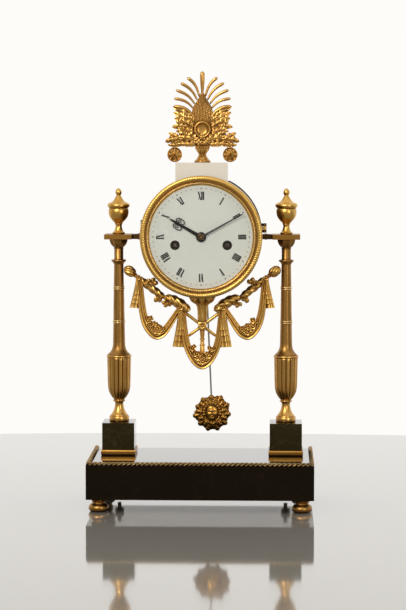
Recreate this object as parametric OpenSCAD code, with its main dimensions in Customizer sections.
// Portico clock: a drum clock hung between two columns on a marble slab.
// The front faces -Y, the columns stand at Y 0, and the feet rest on Z 0.

/* [Base] */
// Width of the marble slab
base_w = 228; // [215:1:260]
// Depth of the marble slab
base_d = 118; // [110:1:140]
// Distance of the column axes behind the middle of the slab
base_set = 22; // [16:1:28]
// Height of the marble slab
base_h = 35; // [28:0.5:50]
// Diameter of the rope border
rope_d = 4.2; // [2.8:0.1:5]
// Height of a foot
foot_h = 13; // [10:0.5:16]
// Radius of a foot
foot_r = 10; // [8:0.5:11]
// Distance of a foot's axis from the slab's edges
foot_inset = 12; // [12:0.5:18]
// Diameter of the stud on a foot
foot_stud_d = 5; // [3:0.5:8]
// Length of the stud on a foot
foot_stud_l = 9; // [6:0.5:16]

/* [Columns] */
// Distance between the two column axes
column_spacing = 172; // [168:1:180]
// Width of a marble plinth
plinth_w = 33; // [28:0.5:38]
// Height of a marble plinth
plinth_h = 28; // [22:0.5:36]
// Height of the gilt band under a plinth
band_h = 5.5; // [4:0.5:8]
// How far the band stands out from the plinth
band_lip = 1; // [0.6:0.1:2]
// Height of the turned column foot
column_foot_h = 23; // [20:0.5:28]
// Radius of the column foot's flange
column_foot_r = 10; // [8.5:0.5:13]
// Thickness of the column foot's flange
column_flange_t = 5.8; // [4:0.2:7]
// Radius of the neck above the flange
column_neck_r = 4.3; // [3.8:0.1:5.5]
// Height of the fluted vase
vase_h = 46; // [40:1:54]
// Largest radius of the fluted vase
vase_r = 12.2; // [11:0.1:14]
// Number of flutes round a vase
flute_count = 16; // [12:1:18]
// Height of the shaft between vase and capital
shaft_h = 93.5; // [84:0.5:104]
// Radius of the shaft above its shoulder
shaft_r = 5.7; // [5:0.1:6.5]
// Radius of the shaft at its top
shaft_top_r = 4.5; // [3.8:0.1:5]
// Height of the capital with its collar
capital_h = 26; // [24:0.5:30]
// Largest radius of the capital
capital_r = 9.4; // [8:0.1:11]
// Width of the abacus plate
abacus_w = 28; // [24:0.5:31]
// Thickness of the abacus plate and of the arms
abacus_t = 5; // [4:0.5:7]
// Height of an urn with its bud
urn_h = 47; // [42:1:54]
// Largest radius of an urn
urn_r = 10.7; // [9:0.1:12]
// Diameter of a tie rod
rod_d = 4; // [3:0.1:5]

/* [Drum] */
// Outer radius of the drum case
drum_r = 60; // [59:0.5:62]
// Length of the drum case from front to back
drum_len = 74; // [74:0.5:84]
// Wall of the drum case
drum_wall = 2; // [1.5:0.1:2.2]
// Height of the drum axis above the middle of the arms
drum_rise = 1.5; // [0:0.1:3]
// Width of an arm from front to back
arm_d = 12; // [8:0.5:20]
// Radius of the enamel dial
dial_r = 54.4; // [53:0.1:55.4]
// How far the bezel reaches outside the dial
bezel_w = 7.1; // [6:0.1:8.5]
// How far the bezel laps over the edge of the dial
dial_lap = 2.4; // [1.5:0.1:4]
// Thickness of the glass
glass_t = 1.4; // [1:0.1:1.8]
// Rise of the glass dome
glass_dome = 3.5; // [2.5:0.1:5]
// Thickness of the enamel dial
dial_t = 1.2; // [0.9:0.1:1.4]
// Diameter of a winding hole
winding_hole_d = 9.8; // [8:0.1:11]
// Diameter of a hinge pin
hinge_pin_d = 1.6; // [1.2:0.1:2]
// Height of one hinge knuckle
knuckle_h = 3.2; // [2.6:0.1:4]

/* [Hands] */
// Length of the minute hand
minute_hand_l = 48; // [42:0.5:50]
// Length of the hour hand
hour_hand_l = 37; // [34:0.5:42]
// Angle of the minute hand, clockwise from twelve
minute_hand_a = 61; // [0:1:359]
// Angle of the hour hand, clockwise from twelve
hour_hand_a = 300; // [0:1:359]
// Thickness of a hand
hand_t = 0.7; // [0.5:0.1:0.9]

/* [Crown] */
// Width of the white marble block
cap_w = 53; // [44:1:60]
// Depth of the white marble block
cap_d = 50; // [40:1:60]
// Rise of the white marble block above the drum
cap_rise = 14.5; // [10:0.5:20]
// Height of the crest
crest_h = 94; // [84:1:104]
// Thickness of the crest's foliage
crest_t = 7; // [5:0.5:10]
// Number of rays on each side of the middle ray
ray_count = 5; // [4:1:6]
// Diameter of a hanging rosette
rosette_d = 15; // [12:0.5:17]

/* [Swags] */
// Distance from the drum axis down to the crossing of the staffs
crossing_drop = 93; // [90:0.5:98]
// Diameter of a staff
staff_d = 3.2; // [2.6:0.1:4]
// Slope of a staff
staff_slope = 37; // [35:0.5:38.5]
// Diameter of the stem that carries the staffs
stem_d = 9.8; // [8:0.2:12]
// Drop of a side festoon below its knots
side_sag = 40; // [34:1:48]
// Drop of the middle festoon below its knots
middle_sag = 54; // [46:1:60]
// Thickness of a festoon
festoon_d = 6.4; // [5:0.1:7.5]

/* [Movement] */
// Gap between the front plate and the wall of the drum
plate_margin = 5; // [4:0.5:6.5]
// Radius of the back plate
back_plate_r = 46; // [45.5:0.5:48]
// Thickness of a plate
plate_t = 2; // [1.5:0.1:2.4]
// Distance between the plates
plate_gap = 30; // [30:0.5:32]
// Distance of a winding arbor from the middle
winding_x = 26.3; // [25.8:0.1:26.8]
// Distance of a winding arbor below the middle
winding_drop = 8.4; // [8:0.1:9]
// Radius of a barrel
barrel_r = 18.6; // [17:0.1:19]
// Wall of a barrel
barrel_wall = 1; // [0.8:0.1:1.4]
// Diameter of a winding arbor
winding_arbor_d = 5; // [4.4:0.1:5.4]
// Diameter of a pillar
pillar_d = 5; // [4:0.1:6]
// Radius of the bell
bell_r = 27; // [24:0.5:28]
// Wall of the bell
bell_wall = 1.6; // [1.2:0.1:2.4]

/* [Pendulum] */
// Height of the suspension above the drum axis
suspension_rise = 36; // [35.5:0.1:37]
// Length from the suspension to the middle of the bob
pendulum_l = 221; // [205:1:235]
// Diameter of the bob
bob_d = 38; // [32:0.5:44]
// Diameter of the pendulum rod
pendulum_rod_d = 1.8; // [1.4:0.1:2.2]
// Swing of the pendulum to the right of plumb
pendulum_swing = 2.5; // [0:0.1:3]
// Largest swing to either side of plumb, which the slot leaves room for
pendulum_reach = 5; // [4:0.1:5.5]

/* [Hidden] */
$fn = 64;

// Clearances: running fits, fits of fixed pieces, and free gaps between bodies
run_gap = 0.05;
seat_gap = 0.1;
free_gap = 0.3;
// Overshoot of a cutting shape past the face that it cuts
over = 1;

// Heights of the column stack
base_z = foot_h;
base_top = base_z + base_h;
band_top = base_top + band_h;
plinth_top = band_top + plinth_h;
vase_z = plinth_top + column_foot_h;
shaft_z = vase_z + vase_h;
capital_z = shaft_z + shaft_h;
abacus_z = capital_z + capital_h;
abacus_top = abacus_z + abacus_t;
column_x = column_spacing / 2;
rod_bore_d = rod_d + 2 * seat_gap;
rod_in_urn = 7;
nut_h = 4.5;
nut_d = 9;
rod_end = 3;

// Drum and what sits on its axis
drum_z = abacus_z + abacus_t / 2 + drum_rise;
drum_bore_r = drum_r - drum_wall;
drum_front = -36;
drum_back = drum_front + drum_len;
drum_top = drum_z + drum_r;
cap_top = drum_top + cap_rise;
dial_back = drum_front - 1;
dial_crown = 1.5;
dial_front = dial_back - dial_t;
hour_hand_y = dial_front - dial_crown - 0.9;
minute_hand_y = hour_hand_y - hand_t - 0.7;
collet_t = 0.8;
collet_front = minute_hand_y - hand_t - collet_t;

// Bezel, from the gap at the drum to the rim in front of the glass
bezel_back = drum_front - free_gap;
bezel_rebate_y = dial_front - 1.8;
glass_seat_y = minute_hand_y - hand_t - free_gap - glass_t;
glass_lip = 0.8;
bezel_rim_r = 2.5;
bezel_front = glass_seat_y - glass_lip - bezel_rim_r;
bezel_r = dial_r + bezel_w;
rebate_r = dial_r + 0.7;
sight_r = dial_r - dial_lap;
glass_seat_r = (sight_r + rebate_r) / 2 + 0.4;

// Rear door and hinges
door_t = 3;
door_front = drum_back + free_gap;
door_r = drum_r + 1;
hinge_rise = 9;
knuckle_r = hinge_pin_d / 2 + 1.1;
hinge_x = max(bezel_r, door_r) + knuckle_r + 0.6;
hinge_span = 3 * knuckle_h;
bezel_hinge_y = (bezel_back + drum_front) / 2;
door_hinge_y = (drum_back + door_front) / 2;

// Depth of the movement's layers, the wheels counted from the back plate
front_plate_r = drum_bore_r - plate_margin;
front_plate_y = -27;
train_front = front_plate_y + plate_t;
train_back = train_front + plate_gap;
back_plate_y = train_back + plate_t;
end_shake = 0.3;
wheel_t = 1.3;
centre_wheel_y = train_back - 3.9;
second_wheel_y = centre_wheel_y - 2.8;
third_wheel_y = second_wheel_y - 2.3;
great_wheel_t = 3;
barrel_front = train_front + 2;
barrel_back = third_wheel_y - 1;
great_wheel_y = barrel_back - great_wheel_t;
spring_front = barrel_front + barrel_wall;
spring_back = barrel_back - barrel_wall;
pinion_over = 0.5;
escape_wheel_y = train_front + 11;
motion_y = front_plate_y - 2.4;
hour_wheel_y = motion_y - 2.4;
pendulum_y = back_plate_y + 5;
crutch_y = back_plate_y + 1.2;
bell_y = pendulum_y + 4.5;
bell_stand_t = 2;
bell_h = drum_back - bell_y - bell_stand_t - 4.5;

// Gear teeth
// pressure angle, tooth heights in modules and the share of the pitch that a tooth fills
pressure = 25;
addendum = 0.72;
dedendum = 1.05;
tooth_fill = 0.42;
great_n = 80;
great_rim = 0.875;
great_m = (barrel_r + great_rim) / (great_n / 2 - dedendum);
great_leaves = 10;
second_m = 0.4;
second_n = 72;
centre_m = 0.36;
centre_n = 80;
third_m = 0.32;
third_n = 80;
leaves = 8;
escape_n = 38;
escape_r = 9.5;
motion_m = 0.4;
cannon_n = 20;
minute_n = 60;
minute_leaves = 16;
hour_n = 64;
strike_pins = 10;

// Sizes of arbors
arbor_d = 1.8;
pivot_d = 1.2;
centre_pivot_d = 2;
cannon_d = 3.6;
hour_pipe_d = 6;
winding_square = 3.4;

function polar(a, r) = [r * cos(a), r * sin(a)];
function heading(p, q) = atan2(q[1] - p[1], q[0] - p[0]);
// Point at distance rp from p and rq from q, to the left of the line p to q when side is 1
function meet(p, rp, q, rq, side) =
    let (d = norm(q - p), a = (rp * rp - rq * rq + d * d) / (2 * d), e = (q - p) / d)
    p + a * e + side * sqrt(rp * rp - a * a) * [-e[1], e[0]];
function mesh_reach(m, na, nb) = m * (na + nb) / 2;
// Angle of a tooth of the second gear that lets it mesh with the first
function mesh_phase(p, na, ta, q, nb) =
    let (f = heading(p, q), turns = (f - ta) * na / 360)
    f + 180 - (0.5 - turns + floor(turns)) * 360 / nb;
function involute(a) = tan(a) * 180 / PI - a;
function tooth_half(n, m, r) =
    let (base_r = n * m / 2 * cos(pressure))
    tooth_fill * 180 / n + involute(pressure) - involute(acos(base_r / max(r, base_r)));
function gear_tip(m, n) = m * (n / 2 + addendum);
// Outline of a gear: up one flank and down the other for each tooth
function gear_outline(m, n, phase, steps) =
    let (root_r = m * (n / 2 - dedendum), tip_r = gear_tip(m, n))
    [for (i = [0 : n - 1], k = [0 : 2 * steps + 1])
        let (j = min(k, 2 * steps + 1 - k), r = root_r + (tip_r - root_r) * j / steps)
        polar(phase + 360 * i / n + (k <= steps ? -1 : 1) * tooth_half(n, m, r), r)];
// Eased curve between two profile points, level at both ends
function ogee(p, q, n = 8) =
    [for (k = [0 : n])
        [p[0] + (q[0] - p[0]) * (1 - cos(180 * k / n)) / 2, p[1] + (q[1] - p[1]) * k / n]];
// Quarter ellipse between two profile points that starts along the radius
function swell(p, q, n = 8) =
    [for (k = [0 : n])
        [p[0] + (q[0] - p[0]) * sin(90 * k / n), p[1] + (q[1] - p[1]) * (1 - cos(90 * k / n))]];
// Quarter ellipse between two profile points that starts along the axis
function cove(p, q, n = 8) =
    [for (k = [0 : n])
        [p[0] + (q[0] - p[0]) * (1 - cos(90 * k / n)), p[1] + (q[1] - p[1]) * sin(90 * k / n)]];
// Half round that stands out from a radius
function bead(r, z, d, n = 8) =
    [for (k = [0 : n]) [r + d / 2 * sin(180 * k / n), z + d / 2 * (1 - cos(180 * k / n))]];
function bezier(a, b, c, t) = (1 - t) * (1 - t) * a + 2 * t * (1 - t) * b + t * t * c;

// Places on the movement, seen from the front: to the right and up from the drum axis
middle = [0, 0];
going_at = [winding_x, -winding_drop];
strike_at = [-winding_x, -winding_drop];
great_reach = mesh_reach(great_m, great_n, great_leaves);
second_reach = mesh_reach(second_m, second_n, leaves);
centre_reach = mesh_reach(centre_m, centre_n, leaves);
third_reach = mesh_reach(third_m, third_n, leaves);
motion_reach = mesh_reach(motion_m, cannon_n, minute_n);
escape_at = [0, suspension_rise - escape_r - 4.5];
anchor_at = [0, suspension_rise];
second_at = meet(middle, second_reach, going_at, great_reach, 1);
third_at = meet(middle, centre_reach, escape_at, third_reach, 1);
minute_at = [0, -motion_reach];
count_at = strike_at + polar(-30, great_reach);
pin_at = count_at + polar(-20, second_reach);
fly_at = pin_at + polar(-90, centre_reach);
pillar_drop = winding_drop + gear_tip(great_m, great_n) + pillar_d / 2 + 1;
pillar_places = [for (s = [-1, 1], p = [[21, 36.4], [winding_x, -pillar_drop]]) [s * p[0], p[1]]];
bell_post_at = [33, 18];
hammer_at = [-36, -18];
hammer_stud_d = 2.4;
suspension_pin_d = 1.5;

// Tooth angles at rest
second_wheel_a = mesh_phase(middle, leaves, 0, second_at, second_n);
great_a = mesh_phase(second_at, great_leaves, 0, going_at, great_n);
third_leaf_a = mesh_phase(middle, centre_n, 0, third_at, leaves);
escape_leaf_a = mesh_phase(third_at, third_n, 0, escape_at, leaves);
minute_wheel_a = mesh_phase(middle, cannon_n, 0, minute_at, minute_n);
hour_wheel_a = mesh_phase(minute_at, minute_leaves, 0, middle, hour_n);
strike_great_a = mesh_phase(count_at, great_leaves, 0, strike_at, great_n);
pin_leaf_a = mesh_phase(count_at, second_n, 0, pin_at, leaves);
fly_leaf_a = mesh_phase(pin_at, centre_n, 0, fly_at, leaves);

// Swag layout
crossing_z = drum_z - crossing_drop;
swag_y = -4;
festoon_y = swag_y - staff_d / 2 - festoon_d / 2 - seat_gap;
cone_l = 12;
cone_d = 9.5;
cone_x = column_x - shaft_top_r - cone_l / 2 - 1.5;
staff_tail = 17;
boss_w = 9;
// Height of a staff's axis at a distance from the middle
function staff_z(x) = crossing_z + abs(x) * tan(staff_slope);
outer_knot_x = cone_x - 12;
inner_knot_x = 20;

module along_depth(at, y0, y1) {
    translate([at[0], y1, drum_z + at[1]]) rotate([90, 0, 0]) linear_extrude(y1 - y0) children();
}

module shaft(at, y0, y1, d) {
    translate([at[0], y1, drum_z + at[1]]) rotate([90, 0, 0]) cylinder(h = y1 - y0, d = d);
}

// A solid turned about the drum axis: x is the radius and y the depth towards the front
module turned_on_drum(at = middle) {
    translate([at[0], 0, drum_z + at[1]]) rotate([90, 0, 0]) rotate_extrude($fn = 128) children();
}

module turned(profile, h, bore_d) {
    difference() {
        rotate_extrude() polygon(concat([[0, 0]], profile, [[0, h]]));
        translate([0, 0, -over]) cylinder(h = h + 2 * over, d = bore_d);
    }
}

module block(w, d, z0, z1) {
    translate([-w / 2, -d / 2, z0]) cube([w, d, z1 - z0]);
}

module at_columns() {
    for (side = [-1, 1]) translate([side * column_x, 0, 0]) children();
}

// Moves a form from the column axes to the middle of the slab
module on_base() {
    translate([0, -base_set, 0]) children();
}

module at_feet() {
    for (sx = [-1, 1], sy = [-1, 1])
        on_base() translate([sx * (base_w / 2 - foot_inset), sy * (base_d / 2 - foot_inset), 0]) children();
}

module base_slab() {
    color("#1c1813") difference() {
        on_base() block(base_w, base_d, base_z, base_top);
        at_columns() translate([0, 0, base_z - over]) cylinder(h = base_h + 2 * over, d = rod_bore_d);
        at_feet() translate([0, 0, base_z - over])
            cylinder(h = over + foot_stud_l + seat_gap, d = foot_stud_d + 2 * seat_gap);
    }
}

// The rope runs along the front and the two sides, and leaves the back edge bare
module rope_border() {
    side_x = base_w / 2 - rope_d / 2;
    side_y = base_d / 2 - rope_d / 2;
    rope_flat = 0.3;
    color("#b98d4a") on_base() difference() {
        translate([0, 0, base_top + rope_d / 2 - rope_flat]) {
            translate([-side_x, -side_y, 0]) rotate([0, 90, 0]) cylinder(h = 2 * side_x, d = rope_d);
            for (s = [-1, 1])
                translate([s * side_x, side_y, 0]) rotate([90, 0, 0])
                    cylinder(h = 2 * side_y, d = rope_d);
            for (sx = [-1, 1], sy = [-1, 1]) translate([sx * side_x, sy * side_y, 0]) sphere(d = rope_d);
        }
        block(base_w + over, base_d + over, base_top - rope_d, base_top);
    }
}

module feet() {
    profile = concat(
        [[foot_r * 0.7, 0]], cove([foot_r * 0.8, 0], [foot_r, foot_h * 0.35]),
        ogee([foot_r, foot_h * 0.45], [foot_r * 0.68, foot_h * 0.8]),
        [[foot_r * 0.68, foot_h * 0.84], [foot_r * 0.8, foot_h * 0.84], [foot_r * 0.8, foot_h]]);
    color("#b98d4a") at_feet() {
        rotate_extrude() polygon(concat([[0, 0]], profile, [[0, foot_h]]));
        cylinder(h = foot_h + foot_stud_l, d = foot_stud_d);
    }
}

module tie_rods() {
    color("#6d6250") at_columns() {
        translate([0, 0, rod_end]) cylinder(h = abacus_top + rod_in_urn - rod_end, d = rod_d);
        difference() {
            translate([0, 0, base_z - nut_h]) cylinder(h = nut_h, d = nut_d, $fn = 6);
            translate([0, 0, base_z - nut_h - over])
                cylinder(h = nut_h + 2 * over, d = rod_d + 2 * run_gap);
        }
    }
}

module plinth() {
    color("#2b2818") difference() {
        block(plinth_w, plinth_w, band_top, plinth_top);
        translate([0, 0, band_top - over]) cylinder(h = plinth_h + 2 * over, d = rod_bore_d);
    }
}

module left_plinth() {
    translate([-column_x, 0, 0]) plinth();
}

module right_plinth() {
    translate([column_x, 0, 0]) plinth();
}

module plinth_bands() {
    band_w = plinth_w + 2 * band_lip;
    color("#a8824a") at_columns() difference() {
        block(band_w, band_w, base_top, band_top);
        translate([0, 0, base_top - over]) cylinder(h = band_h + 2 * over, d = rod_bore_d);
    }
}

module column_foot() {
    ring_d = 2;
    ring_z = column_foot_h - ring_d;
    profile = concat(
        [[column_foot_r, 0], [column_foot_r, column_flange_t]],
        swell([column_foot_r - 1.4, column_flange_t], [column_neck_r, ring_z - 4]),
        [[column_neck_r, ring_z]], bead(column_neck_r + 0.8, ring_z, ring_d));
    color("#a67a3a") translate([0, 0, plinth_top]) turned(profile, column_foot_h, rod_bore_d);
}

module left_column_foot() {
    translate([-column_x, 0, 0]) column_foot();
}

module right_column_foot() {
    translate([column_x, 0, 0]) column_foot();
}

module column_vase() {
    rim_t = 2;
    rim_lip = 0.3;
    belly_z = 10;
    flute_z = belly_z * 0.75;
    flute_h = vase_h - rim_t - flute_z - 1;
    flute_d = PI * vase_r / flute_count * 1.3;
    profile = concat(
        swell([column_neck_r + 0.8, 0], [vase_r * 0.93, belly_z]),
        [[vase_r, vase_h - rim_t], [vase_r + rim_lip, vase_h - rim_t], [vase_r + rim_lip, vase_h]]);
    color("#9a6f33") translate([0, 0, vase_z]) difference() {
        turned(profile, vase_h, rod_bore_d);
        for (i = [0 : flute_count - 1]) rotate(360 * (i + 0.5) / flute_count)
            translate([vase_r + rim_lip, 0, flute_z]) cylinder(h = flute_h, d = flute_d);
    }
}

module left_column_vase() {
    translate([-column_x, 0, 0]) column_vase();
}

module right_column_vase() {
    translate([column_x, 0, 0]) column_vase();
}

module column_shaft() {
    shoulder_z = 12;
    ring_t = 2.4;
    ring_lip = 0.5;
    taper = (shaft_r - shaft_top_r) / (shaft_h - shoulder_z);
    profile = concat(ogee([shaft_r + 3.4, 0], [shaft_r, shoulder_z]), [[shaft_top_r, shaft_h]]);
    color("#a67a3a") translate([0, 0, shaft_z]) difference() {
        union() {
            turned(profile, shaft_h, rod_bore_d);
            for (z = [shaft_h * 0.36, shaft_h * 0.74])
                translate([0, 0, z]) cylinder(h = ring_t, r = shaft_r - taper * (z - shoulder_z) + ring_lip);
        }
        translate([0, 0, -over]) cylinder(h = shaft_h + 2 * over, d = rod_bore_d);
    }
}

module left_column_shaft() {
    translate([-column_x, 0, 0]) column_shaft();
}

module right_column_shaft() {
    translate([column_x, 0, 0]) column_shaft();
}

module capital() {
    collar_t = 4.4;
    collar_r = shaft_top_r + 2.7;
    echinus_h = 8;
    profile = concat(
        ogee([shaft_top_r + 0.4, 0], [collar_r, collar_t - 1], 5),
        [[collar_r, collar_t], [shaft_top_r + 0.1, collar_t], [shaft_top_r + 0.1, capital_h - echinus_h]],
        swell([shaft_top_r + 0.4, capital_h - echinus_h], [capital_r, capital_h]));
    color("#b08445") translate([0, 0, capital_z]) turned(profile, capital_h, rod_bore_d);
}

module left_capital() {
    translate([-column_x, 0, 0]) capital();
}

module right_capital() {
    translate([column_x, 0, 0]) capital();
}

module abacus() {
    color("#94682f") difference() {
        block(abacus_w, abacus_w, abacus_z, abacus_top);
        translate([0, 0, abacus_z - over]) cylinder(h = abacus_t + 2 * over, d = rod_bore_d);
    }
}

module left_abacus() {
    translate([-column_x, 0, 0]) abacus();
}

module right_abacus() {
    translate([column_x, 0, 0]) abacus();
}

module urn() {
    foot_top = urn_h * 0.1;
    bowl_z = urn_h * 0.25;
    lid_z = urn_h * 0.55;
    lid_top = urn_h * 0.68;
    bud_z = urn_h * 0.81;
    profile = concat(
        [[urn_r * 0.56, 0], [urn_r * 0.56, foot_top * 0.6]],
        swell([urn_r * 0.48, foot_top], [urn_r * 0.3, bowl_z - 2]),
        swell([urn_r * 0.36, bowl_z], [urn_r * 0.93, lid_z]),
        [[urn_r, lid_z], [urn_r, lid_top]],
        swell([urn_r * 0.62, lid_top], [urn_r * 0.26, bud_z]),
        [for (k = [0 : 9]) [urn_r * (0.02 + 0.28 * sin(40 + 14 * k)), bud_z + (urn_h - bud_z) * k / 9]]);
    color("#b08039") translate([0, 0, abacus_top]) difference() {
        rotate_extrude() polygon(concat([[0, 0]], profile, [[0, urn_h]]));
        translate([0, 0, -over]) cylinder(h = over + rod_in_urn + seat_gap, d = rod_bore_d);
    }
}

module left_urn() {
    translate([-column_x, 0, 0]) urn();
}

module right_urn() {
    translate([column_x, 0, 0]) urn();
}

// Knuckles of a hinge on a vertical pin, with the leaf that ties them to a round wall of radius wall_r
module knuckles(side, y, leaf_y, wall_r, parts) {
    leaf_reach = hinge_x - sqrt(wall_r * wall_r - pow(hinge_rise + hinge_span / 2, 2));
    for (k = parts) {
        z0 = drum_z + hinge_rise - hinge_span / 2 + k * knuckle_h + free_gap / 2;
        h = knuckle_h - free_gap;
        translate([side * hinge_x, y, z0]) cylinder(h = h, r = knuckle_r);
        translate([side > 0 ? hinge_x - leaf_reach : -hinge_x, min(y, leaf_y), z0])
            cube([leaf_reach, abs(leaf_y - y), h]);
    }
}

module hinge_bore(side, y) {
    translate([side * hinge_x, y, drum_z + hinge_rise - hinge_span / 2 - over])
        cylinder(h = hinge_span + 2 * over, d = hinge_pin_d + 2 * run_gap);
}

module drum_case() {
    slot_drop = drum_r + suspension_rise;
    slot_w = 2 * (slot_drop * tan(pendulum_reach) + pendulum_rod_d);
    slot_d = 9;
    ledge_r = front_plate_r - 3.6;
    ledge_t = 2;
    color("#5a4322") difference() {
        union() {
            along_depth(middle, drum_front, drum_back) difference() {
                circle(drum_r, $fn = 160);
                circle(drum_bore_r, $fn = 160);
            }
            along_depth(middle, train_front, train_front + ledge_t) difference() {
                circle(drum_bore_r + drum_wall / 2, $fn = 160);
                circle(ledge_r, $fn = 160);
            }
            knuckles(1, bezel_hinge_y, bezel_hinge_y + knuckle_r, drum_bore_r, [0, 2]);
            knuckles(-1, door_hinge_y, door_hinge_y - knuckle_r, drum_bore_r, [0, 2]);
        }
        hinge_bore(1, bezel_hinge_y);
        hinge_bore(-1, door_hinge_y);
        translate([-slot_w / 2, pendulum_y - slot_d / 2, drum_z - drum_r - over])
            cube([slot_w, slot_d, drum_wall + 4]);
    }
}

module drum_arms() {
    arm_end = column_x - abacus_w / 2;
    color("#5f4522") difference() {
        for (side = [-1, 1])
            translate([side > 0 ? 0 : -arm_end, -arm_d / 2, abacus_z]) cube([arm_end, arm_d, abacus_t]);
        shaft(middle, -arm_d, arm_d, 2 * drum_r);
    }
}

module hinge_pins() {
    color("#7b6a45") {
        for (hinge = [[1, bezel_hinge_y], [-1, door_hinge_y]])
            translate([hinge[0] * hinge_x, hinge[1], drum_z + hinge_rise - hinge_span / 2])
                cylinder(h = hinge_span, d = hinge_pin_d);
    }
}

module bezel() {
    groove = -bezel_front - bezel_rim_r;
    rim_at = bezel_r - bezel_rim_r;
    pearl_r = 1.1;
    pearl_at = (sight_r + bezel_r) / 2 - bezel_rim_r;
    profile = concat(
        [[rebate_r, -bezel_back], [bezel_r, -bezel_back]],
        [for (a = [0 : 15 : 180]) [rim_at, groove] + polar(a, bezel_rim_r)],
        [for (a = [0 : 30 : 180]) [pearl_at, groove] + polar(a, pearl_r)],
        [[sight_r, groove], [sight_r, -glass_seat_y], [glass_seat_r, -glass_seat_y],
         [glass_seat_r, -bezel_rebate_y], [rebate_r, -bezel_rebate_y]]);
    color("#bd9550") difference() {
        union() {
            turned_on_drum() polygon(profile);
            knuckles(1, bezel_hinge_y, bezel_hinge_y - knuckle_r, rebate_r, [1]);
        }
        hinge_bore(1, bezel_hinge_y);
        shaft(middle, bezel_rebate_y, drum_front + 2 * knuckle_r, 2 * rebate_r);
    }
}

// Arc of the domed glass from the middle to the edge of the sight, as radius and height
function dome_arc(base, steps = 12) =
    let (r = (sight_r * sight_r + glass_dome * glass_dome) / (2 * glass_dome), half = asin(sight_r / r))
    [for (k = [0 : steps]) r * [sin(half * k / steps), cos(half * k / steps) - cos(half)] + [0, base]];

module bezel_glass() {
    glass_r = glass_seat_r - seat_gap;
    edge = -glass_seat_y;
    inner = dome_arc(edge - glass_t);
    rim = [[glass_r, edge], [glass_r, edge - glass_t]];
    color("#dfe8ea", 0.3) turned_on_drum()
        polygon(concat(dome_arc(edge), rim, [for (k = [len(inner) - 1 : -1 : 0]) inner[k]]));
}

module rear_door() {
    knob_d = 6;
    color("#7a5c2e") difference() {
        union() {
            shaft(middle, door_front, door_front + door_t, 2 * door_r);
            shaft([door_r - knob_d, 0], door_front, door_front + door_t + 4, knob_d);
            knuckles(-1, door_hinge_y, door_hinge_y + knuckle_r, drum_bore_r, [1]);
        }
        hinge_bore(-1, door_hinge_y);
    }
}

module dial() {
    foot_d = 3;
    foot_ring = front_plate_r - 6;
    cut_y = dial_front - dial_crown - over;
    edge = -dial_back;
    curve = [for (k = [0 : 8]) [dial_r * k / 8, dial_crown * (1 - pow(k / 8, 2))]];
    front = [for (p = curve) [p[0], edge + dial_t + p[1]]];
    back = [for (k = [8 : -1 : 0]) [curve[k][0], edge + curve[k][1]]];
    color("#e8e8dd") difference() {
        union() {
            turned_on_drum() polygon(concat(front, back));
            for (a = [90, 210, 330])
                shaft(polar(a, foot_ring), dial_back - dial_t / 2, front_plate_y, foot_d);
        }
        for (p = [going_at, strike_at]) shaft(p, cut_y, front_plate_y - over, winding_hole_d);
        shaft(middle, cut_y, front_plate_y - over, hour_pipe_d + 2 * free_gap);
    }
}

// A hand seen from the front, pointing up
module hour_hand_outline() {
    moon_r = 5.4;
    moon_at = hour_hand_l * 0.7;
    circle(d = hour_pipe_d + 3);
    polygon([[-1.3, 0], [1.3, 0], [0.7, moon_at - moon_r + 0.5], [-0.7, moon_at - moon_r + 0.5]]);
    translate([0, moon_at]) difference() {
        circle(moon_r);
        translate([0, 0.6]) circle(moon_r - 1.4);
    }
    for (a = [-60, 0, 60]) translate([0, moon_at]) rotate(a) translate([0, moon_r * 0.42]) difference() {
        circle(2);
        circle(1.2);
    }
    polygon([[-0.8, moon_at + moon_r - 0.6], [0.8, moon_at + moon_r - 0.6], [0, hour_hand_l]]);
}

module minute_hand_outline() {
    circle(d = hour_pipe_d + 1);
    polygon([[-1.2, 0], [1.2, 0], [0.35, minute_hand_l], [-0.35, minute_hand_l]]);
}

module hour_hand() {
    color("#2a241d") difference() {
        along_depth(middle, hour_hand_y - hand_t, hour_hand_y)
            rotate(-hour_hand_a) hour_hand_outline();
        shaft(middle, hour_hand_y - hand_t - over, hour_hand_y + over, hour_pipe_d + 2 * run_gap);
    }
}

module minute_hand() {
    color("#2a241d") difference() {
        along_depth(middle, minute_hand_y - hand_t, minute_hand_y)
            rotate(-minute_hand_a) minute_hand_outline();
        shaft(middle, minute_hand_y - hand_t - over, minute_hand_y + over, cannon_d + 2 * run_gap);
    }
}

module hand_collet() {
    color("#4a4033") difference() {
        shaft(middle, collet_front, minute_hand_y - hand_t, cannon_d + 3);
        shaft(middle, collet_front - over, minute_hand_y, centre_pivot_d + 2 * run_gap);
    }
}

module marble_cap() {
    cap_y = (drum_front + drum_back) / 2 - 2;
    color("#dcd6c4") difference() {
        translate([0, cap_y, 0]) block(cap_w, cap_d, drum_z, cap_top);
        shaft(middle, drum_front - over, drum_back + over, 2 * drum_r);
    }
}

// A leaf seen from the front with toothed edges, pointing up
module leaf_outline(l, w, lobes) {
    polygon([for (s = [-1, 1], k = [0 : 2 * lobes])
        let (t = s < 0 ? k / (2 * lobes) : 1 - k / (2 * lobes), notch = k % 2 == 0 ? 0.72 : 1)
        [s * w / 2 * sin(180 * pow(t, 0.7)) * notch, l * t]]);
}

// The crest is drawn 94 high and scaled to its height
crest_unit = crest_h / 94;
// Foot, bend and tip of a ray, counted outwards from the middle one
function ray_foot(i) = crest_unit * [2.6 + 2.1 * (i - 1), 66.5 - 3.9 * (i - 1)];
function ray_lean(i) = 13.7 + 15.5 * i;
function ray_tip(i) = crest_unit * ([0, 58] + (34.4 - 0.85 * i) * [sin(ray_lean(i)), cos(ray_lean(i))]);
function ray_bend(i) = ray_foot(i) + 14 * crest_unit * [sin(10 * i - 8), cos(10 * i - 8)];

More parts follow.
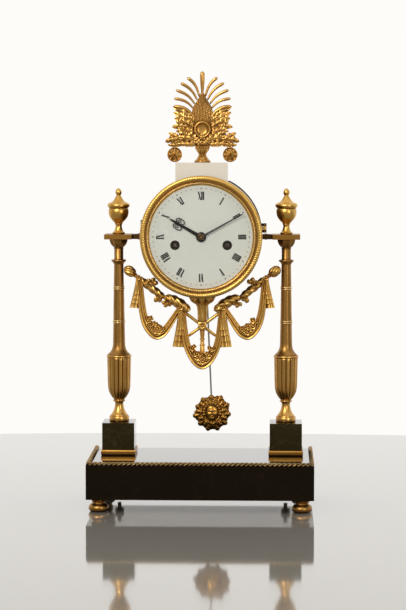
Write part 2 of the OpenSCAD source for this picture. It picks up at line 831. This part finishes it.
module ray_outline(foot, bend, tip, w0, w1) {
    steps = 8;
    along = [for (k = [0 : steps]) bezier(foot, bend, tip, k / steps)];
    side = [for (k = [0 : steps])
        let (d = along[min(k + 1, steps)] - along[max(k - 1, 0)], w = w0 + (w1 - w0) * k / steps)
        [d[1], -d[0]] / norm(d) * w / 2];
    polygon(concat(
        [for (k = [0 : steps]) along[k] + side[k]],
        [for (k = [steps : -1 : 0]) along[k] - side[k]]));
}

// Leaves on both sides, the body between them and the shell that the rays grow from
module foliage_outline() {
    for (s = [-1, 1]) scale([s, 1]) {
        translate([6, 20]) rotate(-33) leaf_outline(44, 22, 5);
        translate([6, 18]) rotate(-50) leaf_outline(33, 20, 4);
        translate([4, 19]) rotate(-82) leaf_outline(34, 14, 4);
        translate([26, 10]) square([5, 11]);
    }
    translate([0, 14.8]) polygon([[-27, 0], [27, 0], [22, 28], [12, 34], [-12, 34], [-22, 28]]);
    polygon([[-12, 44], [12, 44], [9, 55], [2.6, 67], [-2.6, 67], [-9, 55]]);
}

module crest() {
    foot_h = 15.5;
    foot_profile = concat(
        [[8.2, 0], [8.2, 2]], swell([7, 3.5], [3.6, 7]), ogee([3.6, 8], [7.2, foot_h]));
    ray_t = crest_t - 4;
    ring_z = 35.3 * crest_unit;
    ring_t = 1.8;
    rosette_t = 5;
    rosette_x = 28.6 * crest_unit;
    color("#bd9550") translate([0, 0, cap_top]) {
        scale(crest_unit) rotate_extrude() polygon(concat([[0, 0]], foot_profile, [[0, foot_h]]));
        translate([0, crest_t / 2, 0]) rotate([90, 0, 0])
            linear_extrude(crest_t) scale(crest_unit) foliage_outline();
        translate([0, ray_t / 2, 0]) rotate([90, 0, 0]) linear_extrude(ray_t) {
            for (i = [1 : ray_count], s = [-1, 1]) scale([s, 1])
                ray_outline(ray_foot(i), ray_bend(i), ray_tip(i), 1.8, 2.9);
            ray_outline([0, 60] * crest_unit, [0, 78] * crest_unit, [0, crest_h], 2, 4.4);
        }
        translate([0, over - crest_t / 2, ring_z]) rotate([90, 0, 0]) difference() {
            cylinder(h = over + ring_t, r = 8.7 * crest_unit);
            translate([0, 0, over]) cylinder(h = ring_t + over, r = 7.2 * crest_unit);
        }
        for (s = [-1, 1])
            translate([s * rosette_x, rosette_t / 2, rosette_d / 2 + seat_gap]) rotate([90, 0, 0]) {
                cylinder(h = rosette_t, d = rosette_d);
                cylinder(h = rosette_t + 1, d1 = rosette_d * 0.6, d2 = rosette_d * 0.3);
            }
    }
}

module swag_bracket() {
    cup_h = 11;
    cup_z = drum_z - drum_r - 8;
    tip_z = crossing_z + boss_w / 2 + seat_gap;
    tip_h = 4;
    tip_r = (boss_w - staff_d / cos(staff_slope)) / 2 / tan(staff_slope) - 0.3;
    stem_z = tip_z + tip_h;
    profile = concat([[stem_d / 2, 0]], swell([stem_d / 2, 0], [12.5, cup_h - 3]), [[12.5, cup_h]]);
    color("#b98d4a") difference() {
        translate([0, swag_y, 0]) {
            translate([0, 0, cup_z]) rotate_extrude() polygon(concat([[0, 0]], profile, [[0, cup_h]]));
            translate([0, 0, stem_z]) cylinder(h = cup_z - stem_z + over, d = stem_d);
            translate([0, 0, tip_z]) cylinder(h = tip_h, r1 = tip_r, d2 = stem_d);
        }
        shaft(middle, drum_front, drum_back, 2 * drum_r);
    }
}

module crossed_staffs() {
    boss_d = staff_d + 3;
    torch_l = 27;
    color("#ad8242") translate([0, swag_y, crossing_z]) {
        for (s = [-1, 1]) rotate([0, s * (90 - staff_slope), 0]) {
            translate([0, 0, -staff_tail]) cylinder(h = staff_tail + cone_x / cos(staff_slope), d = staff_d);
            translate([0, 0, (cone_x - cone_l / 2) / cos(staff_slope)]) rotate_extrude()
                polygon([for (k = [0 : 12]) [cone_d / 2 * sin(180 * k / 12), cone_l * k / 12]]);
        }
        translate([-boss_w / 2, -boss_d / 2, -boss_w / 2]) cube([boss_w, boss_d, boss_w]);
        translate([0, 0, -torch_l]) cylinder(h = torch_l, d1 = 4, d2 = 5.4);
    }
}

// Point on a festoon that hangs from one knot to another, with its lowest point at a share of the way
function hang(p, q, sag, t) = p + (q - p) * t - [0, sag * pow(4 * t * (1 - t), 0.8)];

module bulb(at, w, y = 0) {
    translate([at[0], festoon_y + y, at[1]]) scale([1, festoon_d / w, 1]) sphere(d = w, $fn = 10);
}

// Gathered cloth with flowers lying in its lowest part
module festoon(p, q, sag) {
    steps = 12;
    for (k = [0 : steps - 1]) hull() {
        bulb(hang(p, q, sag, k / steps), 5.5 + 4.5 * sin(180 * k / steps));
        bulb(hang(p, q, sag, (k + 1) / steps), 5.5 + 4.5 * sin(180 * (k + 1) / steps));
    }
    for (k = [0 : 6]) bulb(hang(p, q, sag - 7, 0.26 + 0.08 * k), 6.4, -1.2);
}

// Loose end of the cloth: three folds that spread from a knot
module tail(knot, l, lean, spread, y = 0) {
    for (k = [-1 : 1]) hull() {
        bulb(knot, 4, y);
        bulb(knot + [lean + (k - 0.5) * spread, -l + abs(k) * 2], 3.2, y);
        bulb(knot + [lean + (k + 0.5) * spread, -l + abs(k) * 2 + 1], 3.2, y);
    }
}

module left_drape() {
    outer = [-outer_knot_x, staff_z(outer_knot_x)];
    inner = [-inner_knot_x, staff_z(inner_knot_x)];
    color("#b08445") {
        festoon(outer + [3, 0], inner + [-6, 2], side_sag);
        tail(outer, 29, -3, 3.4);
    }
}

module right_drape() {
    mirror([1, 0, 0]) left_drape();
}

// The middle festoon's tails hang in front of the side festoons
module middle_drape() {
    knot = [inner_knot_x, staff_z(inner_knot_x)];
    tail_y = -festoon_d - seat_gap;
    color("#b08445") {
        festoon([-knot[0] + 2, knot[1]], [knot[0] - 2, knot[1]], middle_sag);
        for (s = [-1, 1]) {
            hull() {
                bulb([s * (knot[0] - 2), knot[1]], 4);
                bulb([s * (knot[0] + 1), knot[1] - 1], 4, tail_y);
            }
            tail([s * (knot[0] + 1), knot[1] - 1], 35, s * 3, s * 3.6, tail_y);
        }
    }
}

module arbor(at, y0 = train_front + end_shake, y1 = train_back - end_shake) {
    shaft(at, y0, y1, arbor_d);
    shaft(at, front_plate_y, back_plate_y, pivot_d);
}

// A crossed-out wheel whose front face is at y
module wheel(at, y, t, m, n, phase) {
    holes = 5;
    pitch_r = m * n / 2;
    along_depth(at, y, y + t) difference() {
        polygon(gear_outline(m, n, phase, 2));
        for (i = [0 : holes - 1]) rotate(360 * i / holes)
            translate([pitch_r * 0.58, 0]) circle(pitch_r * 0.27);
    }
}

// A pinion that overlaps both faces of the wheel that it meshes with
module pinion(at, y, t, m, n, phase) {
    along_depth(at, y - pinion_over, y + t + pinion_over) polygon(gear_outline(m, n, phase, 4));
}

module front_plate() {
    color("#c7a65c") difference() {
        shaft(middle, front_plate_y, train_front, 2 * front_plate_r);
        for (p = [second_at, third_at, escape_at, anchor_at, count_at, pin_at, fly_at])
            shaft(p, front_plate_y - over, train_front + over, pivot_d + 2 * run_gap);
        for (p = [going_at, strike_at])
            shaft(p, front_plate_y - over, train_front + over, winding_arbor_d + 2 * run_gap);
        shaft(middle, front_plate_y - over, train_front + over, centre_pivot_d + 2 * run_gap);
        shaft(minute_at, front_plate_y - over, train_front + over, pivot_d + 2 * seat_gap);
    }
}

module back_plate() {
    color("#c7a65c") difference() {
        union() {
            shaft(middle, train_back, back_plate_y, 2 * back_plate_r);
            shaft(hammer_at, train_back, bell_y + 6, hammer_stud_d);
        }
        for (p = [second_at, third_at, escape_at, anchor_at, count_at, pin_at, fly_at, middle])
            shaft(p, train_back - over, back_plate_y + over, pivot_d + 2 * run_gap);
        for (p = [going_at, strike_at])
            shaft(p, train_back - over, back_plate_y + over, winding_arbor_d + 2 * run_gap);
    }
}

module pillars() {
    color("#b8964e") for (p = pillar_places) shaft(p, train_front, train_back, pillar_d);
}

module barrel(at, phase) {
    color("#b8964e") difference() {
        union() {
            shaft(at, barrel_front, barrel_back, 2 * barrel_r);
            along_depth(at, great_wheel_y, barrel_back)
                polygon(gear_outline(great_m, great_n, phase, 2));
        }
        shaft(at, spring_front, spring_back, 2 * (barrel_r - barrel_wall));
        shaft(at, barrel_front - over, barrel_back + over, winding_arbor_d + 2 * run_gap);
    }
}

module going_barrel() {
    barrel(going_at, great_a);
}

module strike_barrel() {
    barrel(strike_at, strike_great_a);
}

// A spiral strip that lies inside a barrel, clear of its two covers
module mainspring(at) {
    turns = 7;
    strip = 0.6;
    inner_r = winding_arbor_d / 2 + 1;
    outer_r = barrel_r - barrel_wall - seat_gap - strip;
    steps = turns * 20;
    function spiral(k, out) = polar(360 * turns * k / steps, inner_r + (outer_r - inner_r) * k / steps + out);
    color("#56606b") along_depth(at, spring_front + seat_gap, spring_back - seat_gap)
        polygon(concat([for (k = [0 : steps]) spiral(k, 0)], [for (k = [steps : -1 : 0]) spiral(k, strip)]));
}

module going_mainspring() {
    mainspring(going_at);
}

module strike_mainspring() {
    mainspring(strike_at);
}

module winding_arbor(at) {
    color("#7d776b") {
        shaft(at, front_plate_y, back_plate_y, winding_arbor_d);
        along_depth(at, dial_back, front_plate_y) square(winding_square, center = true);
    }
}

module going_arbor() {
    winding_arbor(going_at);
}

module strike_arbor() {
    winding_arbor(strike_at);
}

module second_wheel() {
    color("#c7a65c") {
        arbor(second_at);
        pinion(second_at, great_wheel_y, great_wheel_t, great_m, great_leaves, 0);
        wheel(second_at, second_wheel_y, wheel_t, second_m, second_n, second_wheel_a);
    }
}

module centre_wheel() {
    color("#c7a65c") {
        shaft(middle, train_front + end_shake, train_back - end_shake, arbor_d);
        shaft(middle, train_back - over, back_plate_y, pivot_d);
        shaft(middle, collet_front - 0.6, train_front + over, centre_pivot_d);
        shaft(middle, minute_hand_y - hand_t, front_plate_y - end_shake, cannon_d);
        pinion(middle, second_wheel_y, wheel_t, second_m, leaves, 0);
        wheel(middle, centre_wheel_y, wheel_t, centre_m, centre_n, 0);
        along_depth(middle, motion_y - 0.2, motion_y + wheel_t + 0.2)
            polygon(gear_outline(motion_m, cannon_n, 0, 3));
    }
}

module third_wheel() {
    color("#c7a65c") {
        arbor(third_at);
        pinion(third_at, centre_wheel_y, wheel_t, centre_m, leaves, third_leaf_a);
        wheel(third_at, third_wheel_y, wheel_t, third_m, third_n, 0);
    }
}

module escape_wheel() {
    root_r = escape_r - 2;
    color("#c7a65c") {
        arbor(escape_at);
        pinion(escape_at, third_wheel_y, wheel_t, third_m, leaves, escape_leaf_a);
        along_depth(escape_at, escape_wheel_y, escape_wheel_y + wheel_t) difference() {
            polygon([for (i = [0 : escape_n - 1], k = [0 : 1])
                polar(360 * (i + 0.2 * k) / escape_n, k == 0 ? root_r : escape_r)]);
            for (a = [0 : 90 : 270]) rotate(a) translate([root_r * 0.58, 0]) circle(root_r * 0.26);
        }
    }
}

// Anchor over the escape wheel, with its crutch behind the back plate
module anchor() {
    pallet_r = escape_r + 1.2;
    arch_t = 2.6;
    fork_gap = pendulum_rod_d / 2 + 0.4;
    fork_t = 0.9;
    crutch_l = 26;
    drop = escape_at - anchor_at;
    color("#6b675f") {
        arbor(anchor_at);
        shaft(anchor_at, train_back - over, crutch_y + 1.4, pivot_d);
        along_depth(anchor_at, escape_wheel_y, escape_wheel_y + wheel_t) rotate(pendulum_swing) {
            circle(2);
            translate([-1, drop[1] + pallet_r + 0.5]) square([2, -drop[1] - pallet_r]);
            translate(drop) intersection() {
                difference() {
                    circle(pallet_r + arch_t);
                    circle(pallet_r);
                }
                polygon([[0, 0], polar(38, 2 * pallet_r), polar(90, 3 * pallet_r), polar(142, 2 * pallet_r)]);
            }
        }
        along_depth(anchor_at, crutch_y, crutch_y + 1.4) rotate(pendulum_swing) {
            circle(1.8);
            translate([-0.8, -crutch_l]) square([1.6, crutch_l]);
            translate([-fork_gap - fork_t, -crutch_l - 1.6]) square([2 * (fork_gap + fork_t), 1.8]);
        }
        along_depth(anchor_at, crutch_y, pendulum_y + pendulum_rod_d / 2 + 0.6) rotate(pendulum_swing)
            for (s = [-1, 1]) translate([s * (fork_gap + fork_t / 2) - fork_t / 2, -crutch_l - 1.6])
                square([fork_t, 1.8]);
    }
}

module minute_wheel() {
    color("#c7a65c") {
        shaft(minute_at, hour_wheel_y - 1, train_front, pivot_d);
        wheel(minute_at, motion_y, wheel_t, motion_m, minute_n, minute_wheel_a);
        along_depth(minute_at, hour_wheel_y - 0.3, motion_y + over)
            polygon(gear_outline(motion_m, minute_leaves, 0, 3));
    }
}

module hour_wheel() {
    color("#c7a65c") difference() {
        union() {
            along_depth(middle, hour_wheel_y, hour_wheel_y + wheel_t)
                polygon(gear_outline(motion_m, hour_n, hour_wheel_a, 2));
            shaft(middle, hour_hand_y - hand_t, hour_wheel_y + wheel_t, hour_pipe_d);
        }
        shaft(middle, hour_hand_y - hand_t - over, hour_wheel_y + wheel_t + over, cannon_d + 2 * run_gap);
    }
}

// Second wheel of the strike, with the notched count plate behind the back plate
module count_wheel() {
    plate_y = back_plate_y + 0.8;
    plate_r = 11;
    notches = 12;
    color("#c7a65c") {
        arbor(count_at);
        shaft(count_at, train_back - over, plate_y + 1.2, pivot_d);
        pinion(count_at, great_wheel_y, great_wheel_t, great_m, great_leaves, 0);
        wheel(count_at, second_wheel_y, wheel_t, second_m, second_n, 0);
        along_depth(count_at, plate_y, plate_y + 1.2) difference() {
            circle(plate_r);
            for (k = [1 : notches]) rotate(360 * (k * (k + 1) / 2 + k) / 90)
                translate([plate_r, 0]) square([3, 0.9], center = true);
        }
    }
}

module pin_wheel() {
    pin_l = 0.7;
    pin_d = 0.8;
    pin_ring = centre_m * centre_n / 2 * 0.91;
    pin_y = third_wheel_y + wheel_t;
    color("#c7a65c") {
        arbor(pin_at);
        pinion(pin_at, second_wheel_y, wheel_t, second_m, leaves, pin_leaf_a);
        wheel(pin_at, third_wheel_y, wheel_t, centre_m, centre_n, 0);
        for (i = [0 : strike_pins - 1])
            shaft(pin_at + polar(360 * (i + 0.5) / strike_pins, pin_ring),
                pin_y - over / 2, pin_y + pin_l, pin_d);
    }
}

module fly() {
    vane_w = 8;
    vane_t = 0.8;
    color("#c7a65c") {
        arbor(fly_at);
        pinion(fly_at, third_wheel_y, wheel_t, centre_m, leaves, fly_leaf_a);
        along_depth(fly_at, train_front + 4, train_front + 16) {
            square([vane_w, vane_t], center = true);
            circle(d = arbor_d + 0.8);
        }
    }
}

// Hammer that stands just off the rim of the bell
module hammer() {
    head_d = 6;
    head_y = bell_y + 3;
    arm_l = 23;
    arm_t = 2;
    hub_back = bell_y + 5.5;
    head_at = meet(hammer_at, arm_l, middle, bell_r + head_d / 2 + 1.3, 1);
    color("#7d776b") difference() {
        union() {
            shaft(hammer_at, back_plate_y + free_gap, hub_back, hammer_stud_d + 2.6);
            along_depth(hammer_at, head_y - arm_t / 2, head_y + arm_t / 2)
                rotate(heading(hammer_at, head_at)) translate([0, -arm_t / 2]) square([arm_l, arm_t]);
            translate([head_at[0], head_y, drum_z + head_at[1]]) sphere(d = head_d);
        }
        shaft(hammer_at, back_plate_y, hub_back + over, hammer_stud_d + 2 * run_gap);
    }
}

// Bell with the stand that holds it by its crown
module bell() {
    crown_y = bell_y + bell_h;
    post_d = 5;
    // Quarter ellipse of the bell's wall, from the rim to the crown
    function wall(k, inset) = [(bell_r - inset) * cos(9 * k), -bell_y - (bell_h - inset) * sin(9 * k)];
    outer = [for (k = [0 : 10]) wall(k, 0)];
    inner = [for (k = [10 : -1 : 0]) wall(k, bell_wall)];
    color("#b08f4a") turned_on_drum() polygon(concat(outer, inner));
    color("#b8964e") {
        shaft(bell_post_at, back_plate_y, crown_y + bell_stand_t, post_d);
        along_depth(middle, crown_y, crown_y + bell_stand_t) {
            rotate(heading(middle, bell_post_at)) translate([0, -2.5]) square([norm(bell_post_at), 5]);
            circle(d = 9);
        }
    }
}

module suspension_cock() {
    leg_w = 4;
    leg_t = 1.2;
    leg_y = pendulum_y + 1.9;
    bar_w = 6;
    bar_h = 4;
    bar_z = drum_z + suspension_rise + 4;
    color("#c7a65c") {
        translate([-bar_w / 2, back_plate_y, bar_z]) cube([bar_w, leg_y + leg_t - back_plate_y, bar_h]);
        translate([-leg_w / 2, leg_y, drum_z + suspension_rise - 2]) cube([leg_w, leg_t, bar_h + 6]);
        shaft(anchor_at, pendulum_y - 1.3, leg_y + leg_t / 2, suspension_pin_d);
    }
}

// Moves what hangs straight down from the suspension to its swung place
module swung() {
    translate([0, pendulum_y, drum_z + suspension_rise]) rotate([0, -pendulum_swing, 0]) children();
}

module pendulum_rod() {
    eye_d = suspension_pin_d + 2.8;
    color("#77726a") swung() difference() {
        union() {
            translate([0, 0.8, 0]) rotate([90, 0, 0]) cylinder(h = 1.6, d = eye_d);
            translate([0, 0, -pendulum_l]) cylinder(h = pendulum_l - suspension_pin_d, d = pendulum_rod_d);
        }
        translate([0, over, 0]) rotate([90, 0, 0]) cylinder(h = 2 * over, d = suspension_pin_d + 2 * run_gap);
    }
}

module pendulum_bob() {
    leaf_count = 12;
    leaf_steps = 8;
    bob_t = 5;
    dome_r = bob_d * 0.23;
    dome_h = 5;
    dome = [for (k = [0 : 8]) [dome_r * cos(90 * k / 8), dome_h * sin(90 * k / 8)]];
    color("#9a6f33") swung() translate([0, 0, -pendulum_l]) difference() {
        union() {
            translate([0, bob_t / 2, 0]) rotate([90, 0, 0]) linear_extrude(bob_t)
                polygon([for (k = [0 : leaf_steps * leaf_count - 1])
                    polar(360 * k / leaf_steps / leaf_count,
                        bob_d / 2 * (0.82 + 0.18 * pow(abs(cos(180 * k / leaf_steps)), 0.7)))]);
            translate([0, -bob_t / 2 + 0.5, 0]) rotate([90, 0, 0]) rotate_extrude()
                polygon(concat([[0, 0]], dome));
        }
        translate([0, 0, -bob_d]) cylinder(h = 2 * bob_d, d = pendulum_rod_d + 2 * seat_gap);
    }
}

base_slab();
rope_border();
feet();
tie_rods();
left_plinth();
right_plinth();
plinth_bands();
left_column_foot();
right_column_foot();
left_column_vase();
right_column_vase();
left_column_shaft();
right_column_shaft();
left_capital();
right_capital();
left_abacus();
right_abacus();
left_urn();
right_urn();
drum_case();
drum_arms();
bezel();
bezel_glass();
hinge_pins();
rear_door();
dial();
hour_hand();
minute_hand();
hand_collet();
marble_cap();
crest();
swag_bracket();
crossed_staffs();
left_drape();
middle_drape();
right_drape();
front_plate();
back_plate();
pillars();
going_barrel();
going_mainspring();
going_arbor();
second_wheel();
centre_wheel();
third_wheel();
escape_wheel();
anchor();
minute_wheel();
hour_wheel();
strike_barrel();
strike_mainspring();
strike_arbor();
count_wheel();
pin_wheel();
fly();
hammer();
bell();
suspension_cock();
pendulum_rod();
pendulum_bob();
